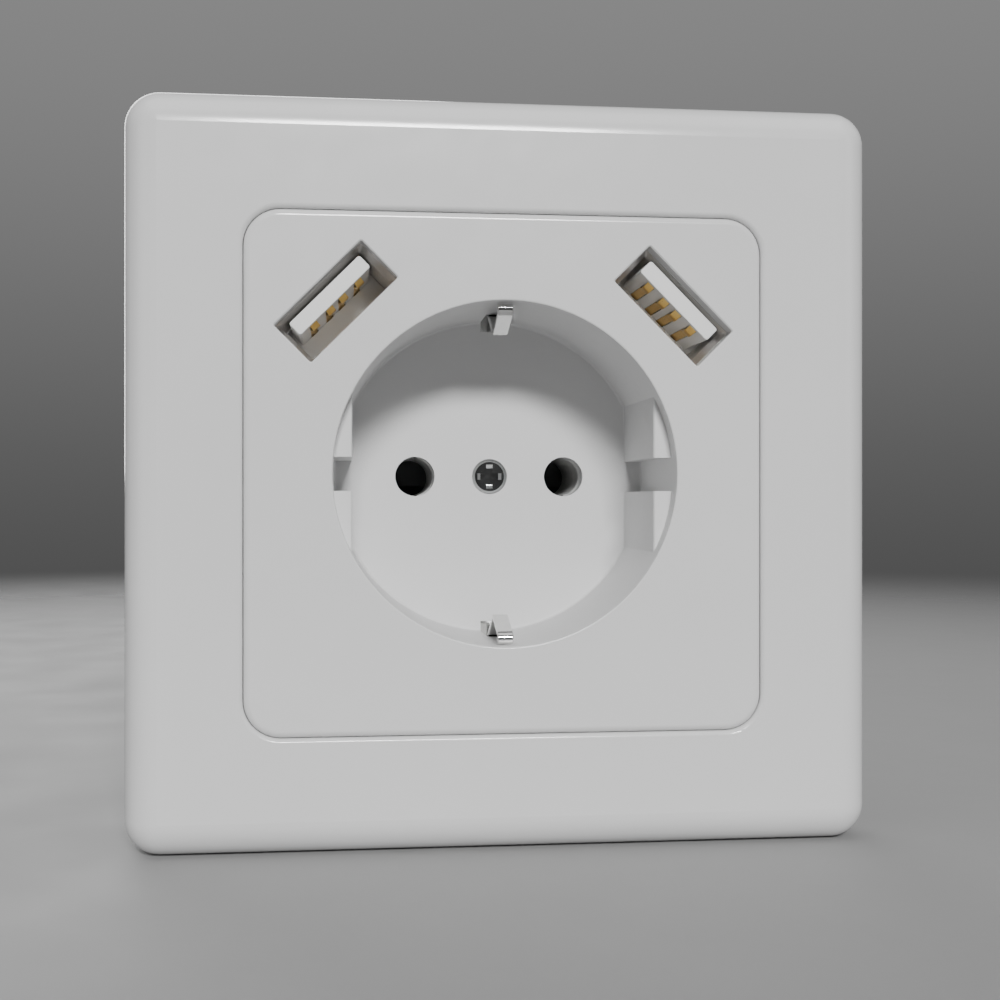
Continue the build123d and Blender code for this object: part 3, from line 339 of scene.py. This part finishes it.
look = {
    "cover_frame": white_frame, "centre_plate": white_plate, "centre_screw": centre_steel,
    "earth_bracket": nickel, "earth_strap": strap_brass, "support_ring": zinc_sheet, "ring_screws": small_steel,
    "base_body": base_dark, "rear_cover": cover_grey, "cover_screws": small_steel,
    "pin_contact_left": jaw_brass, "pin_contact_right": jaw_brass,
    "line_terminal_cage": cage_steel, "neutral_terminal_cage": cage_steel, "earth_terminal_cage": cage_steel,
    "line_terminal_screw": term_l, "neutral_terminal_screw": term_n, "earth_terminal_screw": term_e,
    "claw_left": zinc_sheet, "claw_right": zinc_sheet, "claw_nut_left": cage_steel, "claw_nut_right": cage_steel,
    "claw_screw_left": claw_l, "claw_screw_right": claw_r, "claw_pins": small_steel,
    "usb_shell_left": shell_steel, "usb_shell_right": shell_steel,
    "usb_tongue_left": tongue_white, "usb_tongue_right": tongue_white,
    "usb_contacts_left": gilt, "usb_contacts_right": gilt, "usb_board": laminate, "power_board": laminate,
    "transformer_core": ferrite, "transformer_bobbin": winding_tape, "input_capacitor": shrink_sleeve,
    "output_capacitors": shrink_sleeve, "choke": ferrite, "bridge_rectifier": epoxy, "fuse_resistor": cement,
    "y_capacitor": dipped, "controller_chip": epoxy, "usb_wires": wire_red,
}
for name, obj in nodes.items():
    obj.data.materials.clear()
    obj.data.materials.append(look[name])

# ------------------------------------------------------------------ claw screws with their threads
def sharpen(bm, angle=0.6):
    for f in bm.faces:
        f.smooth = True
    for e in bm.edges:
        e.smooth = len(e.link_faces) == 2 and e.calc_face_angle(0.0) < angle


def threaded(node, body, material, x, z, start, end, pitch=0.0005, root=0.00123, crest=0.00150, around=28):
    """The node's head and neck with a cut thread in place of its plain shank. The thread runs along +Y."""
    src = nodes[node]
    bm = bmesh.new()
    bm.from_mesh(src.data)
    bm.transform(src.matrix_world)
    bmesh.ops.remove_doubles(bm, verts=bm.verts, dist=1e-7)
    cut = bmesh.ops.bisect_plane(
        bm, geom=bm.verts[:] + bm.edges[:] + bm.faces[:], dist=1e-8, plane_co=(0, start + pitch, 0), plane_no=(0, 1, 0), clear_outer=True
    )
    bmesh.ops.holes_fill(bm, edges=[g for g in cut["geom_cut"] if isinstance(g, bmesh.types.BMEdge)])
    profile = ((0.0, root), (0.42, crest), (0.54, crest), (0.96, root))
    rows = int((end - start) / pitch) * len(profile)
    n = len(profile)

    def radius(k, y):
        r = profile[k % n][1]
        lead = min(1.0, max(0.0, (end - y) / (1.2 * pitch)))
        return min(r, 0.00105 + (crest - 0.00105) * lead)

    grid = {}
    for k in range(rows + n + 1):
        for i in range(around):
            if k > rows and i:
                continue
            y = start + pitch * (k // n + profile[k % n][0] + i / around)
            a = 2 * math.pi * i / around
            r = radius(k, y)
            grid[i, k] = bm.verts.new((x + r * math.cos(a), y, z + r * math.sin(a)))
    made = []
    for k in range(rows):
        for i in range(around):
            a, b = grid[i, k], grid[i, k + 1]
            c, d = (grid[i + 1, k + 1], grid[i + 1, k]) if i + 1 < around else (grid[0, k + 1 + n], grid[0, k + n])
            made.append(bm.faces.new((a, b, c, d)))
    for first in (0, rows):
        loop = [grid[i, first] for i in range(around)] + [grid[0, first + k] for k in range(n, 0, -1)]
        hub = bm.verts.new((x, sum(v.co.y for v in loop) / len(loop), z))
        for a, b in zip(loop, loop[1:] + loop[:1]):
            made.append(bm.faces.new((a, b, hub)))
    bmesh.ops.recalc_face_normals(bm, faces=bm.faces[:])
    sharpen(bm)
    me = bpy.data.meshes.new(node + "_threaded")
    bm.to_mesh(me)
    bm.free()
    obj = bpy.data.objects.new(node + "_threaded", me)
    scene.collection.objects.link(obj)
    me.materials.append(material)
    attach(obj, body)
    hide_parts(node)
    return obj


threaded("claw_screw_left", "claw_screw_l", claw_l, -0.0242, -0.007, 0.0012, 0.0236)
threaded("claw_screw_right", "claw_screw_r", claw_r, 0.0242, -0.007, 0.0012, 0.0236)

# ------------------------------------------------------------------ floor, light
floor_z = cad_box[0].z - 0.0001
me = bpy.data.meshes.new("floor")
bm = bmesh.new()
bmesh.ops.create_circle(bm, cap_ends=True, segments=96, radius=2.4)
bm.to_mesh(me)
bm.free()
floor = bpy.data.objects.new("floor", me)
floor.location = (0.0, 0.0, floor_z)
scene.collection.objects.link(floor)
fm = Mat("floor_surface")
fm.rough(fm.spread(fm.noise(60.0, 3.0), 0.62, 0.72, 0.3, 0.7))
fm.color(fm.ramp(fm.noise(3.0, 2.0), (0.3, (0.31, 0.31, 0.31)), (0.7, (0.33, 0.33, 0.33))))
grad = fm.t.nodes.new("ShaderNodeTexGradient")
grad.gradient_type = "SPHERICAL"
reach = fm.t.nodes.new("ShaderNodeMapping")
reach.inputs["Scale"].default_value = (1 / 0.62, 1 / 0.62, 1.0)
reach.inputs["Location"].default_value = (0.0, -0.12 / 0.62, 0.0)
fm.link(fm.co, reach.inputs["Vector"])
fm.link(reach.outputs[0], grad.inputs["Vector"])
clear = fm.t.nodes.new("ShaderNodeBsdfTransparent")
fade = fm.t.nodes.new("ShaderNodeMixShader")
soft = fm.t.nodes.new("ShaderNodeMapRange")
soft.interpolation_type = "SMOOTHSTEP"
soft.inputs["From Min"].default_value = 0.10
soft.inputs["From Max"].default_value = 0.88
fm.link(grad.outputs["Fac"], soft.inputs["Value"])
fm.link(soft.outputs[0], fade.inputs[0])
fm.link(clear.outputs[0], fade.inputs[1])
fm.link(fm.b.outputs[0], fade.inputs[2])
fm.link(fade.outputs[0], fm.out.inputs[0])
floor.data.materials.append(fm.m)

world = bpy.data.worlds.new("studio")
scene.world = world
world.use_nodes = True
# a grey room: lighter towards the ceiling and behind the socket, dim in front of it
wt = world.node_tree
direction = wt.nodes.new("ShaderNodeTexCoord").outputs["Generated"]
split = wt.nodes.new("ShaderNodeSeparateXYZ")
wt.links.new(direction, split.inputs[0])


def slope(value, a, b, low, high):
    n = wt.nodes.new("ShaderNodeMapRange")
    n.interpolation_type = "SMOOTHSTEP"
    for k, v in (("From Min", a), ("From Max", b), ("To Min", low), ("To Max", high)):
        n.inputs[k].default_value = v
    wt.links.new(value, n.inputs["Value"])
    return n.outputs[0]


level = wt.nodes.new("ShaderNodeMath")
level.operation = "MULTIPLY"
wt.links.new(slope(split.outputs[2], -0.12, 0.42, 0.080, 0.26), level.inputs[0])
wt.links.new(slope(split.outputs[1], -0.6, 0.5, 0.35, 1.0), level.inputs[1])
wt.links.new(level.outputs[0], wt.nodes["Background"].inputs["Strength"])
wt.nodes["Background"].inputs["Color"].default_value = (1.0, 1.0, 1.0, 1.0)


def lamp(name, at, width, height, power, target=(0.0, -0.01, 0.0)):
    d = bpy.data.lights.new(name, "AREA")
    d.shape, d.size, d.size_y, d.energy = "RECTANGLE", width, height, power
    o = bpy.data.objects.new(name, d)
    o.location = at
    o.rotation_euler = (Vector(target) - Vector(at)).to_track_quat("-Z", "Y").to_euler()
    scene.collection.objects.link(o)
    return o


lamp("key", (0.06, -1.36, 0.66), 0.42, 0.18, 26.2)
lamp("top", (0.0, -0.45, 1.50), 2.0, 1.2, 7.0)
lamp("fill_left", (-1.1, -0.75, 0.25), 0.7, 0.7, 1.2)
lamp("fill_right", (1.2, -0.70, 0.25), 0.7, 0.7, 1.5)
lamp("fill_back", (-0.4, 1.4, 0.5), 1.0, 1.0, 11.5)
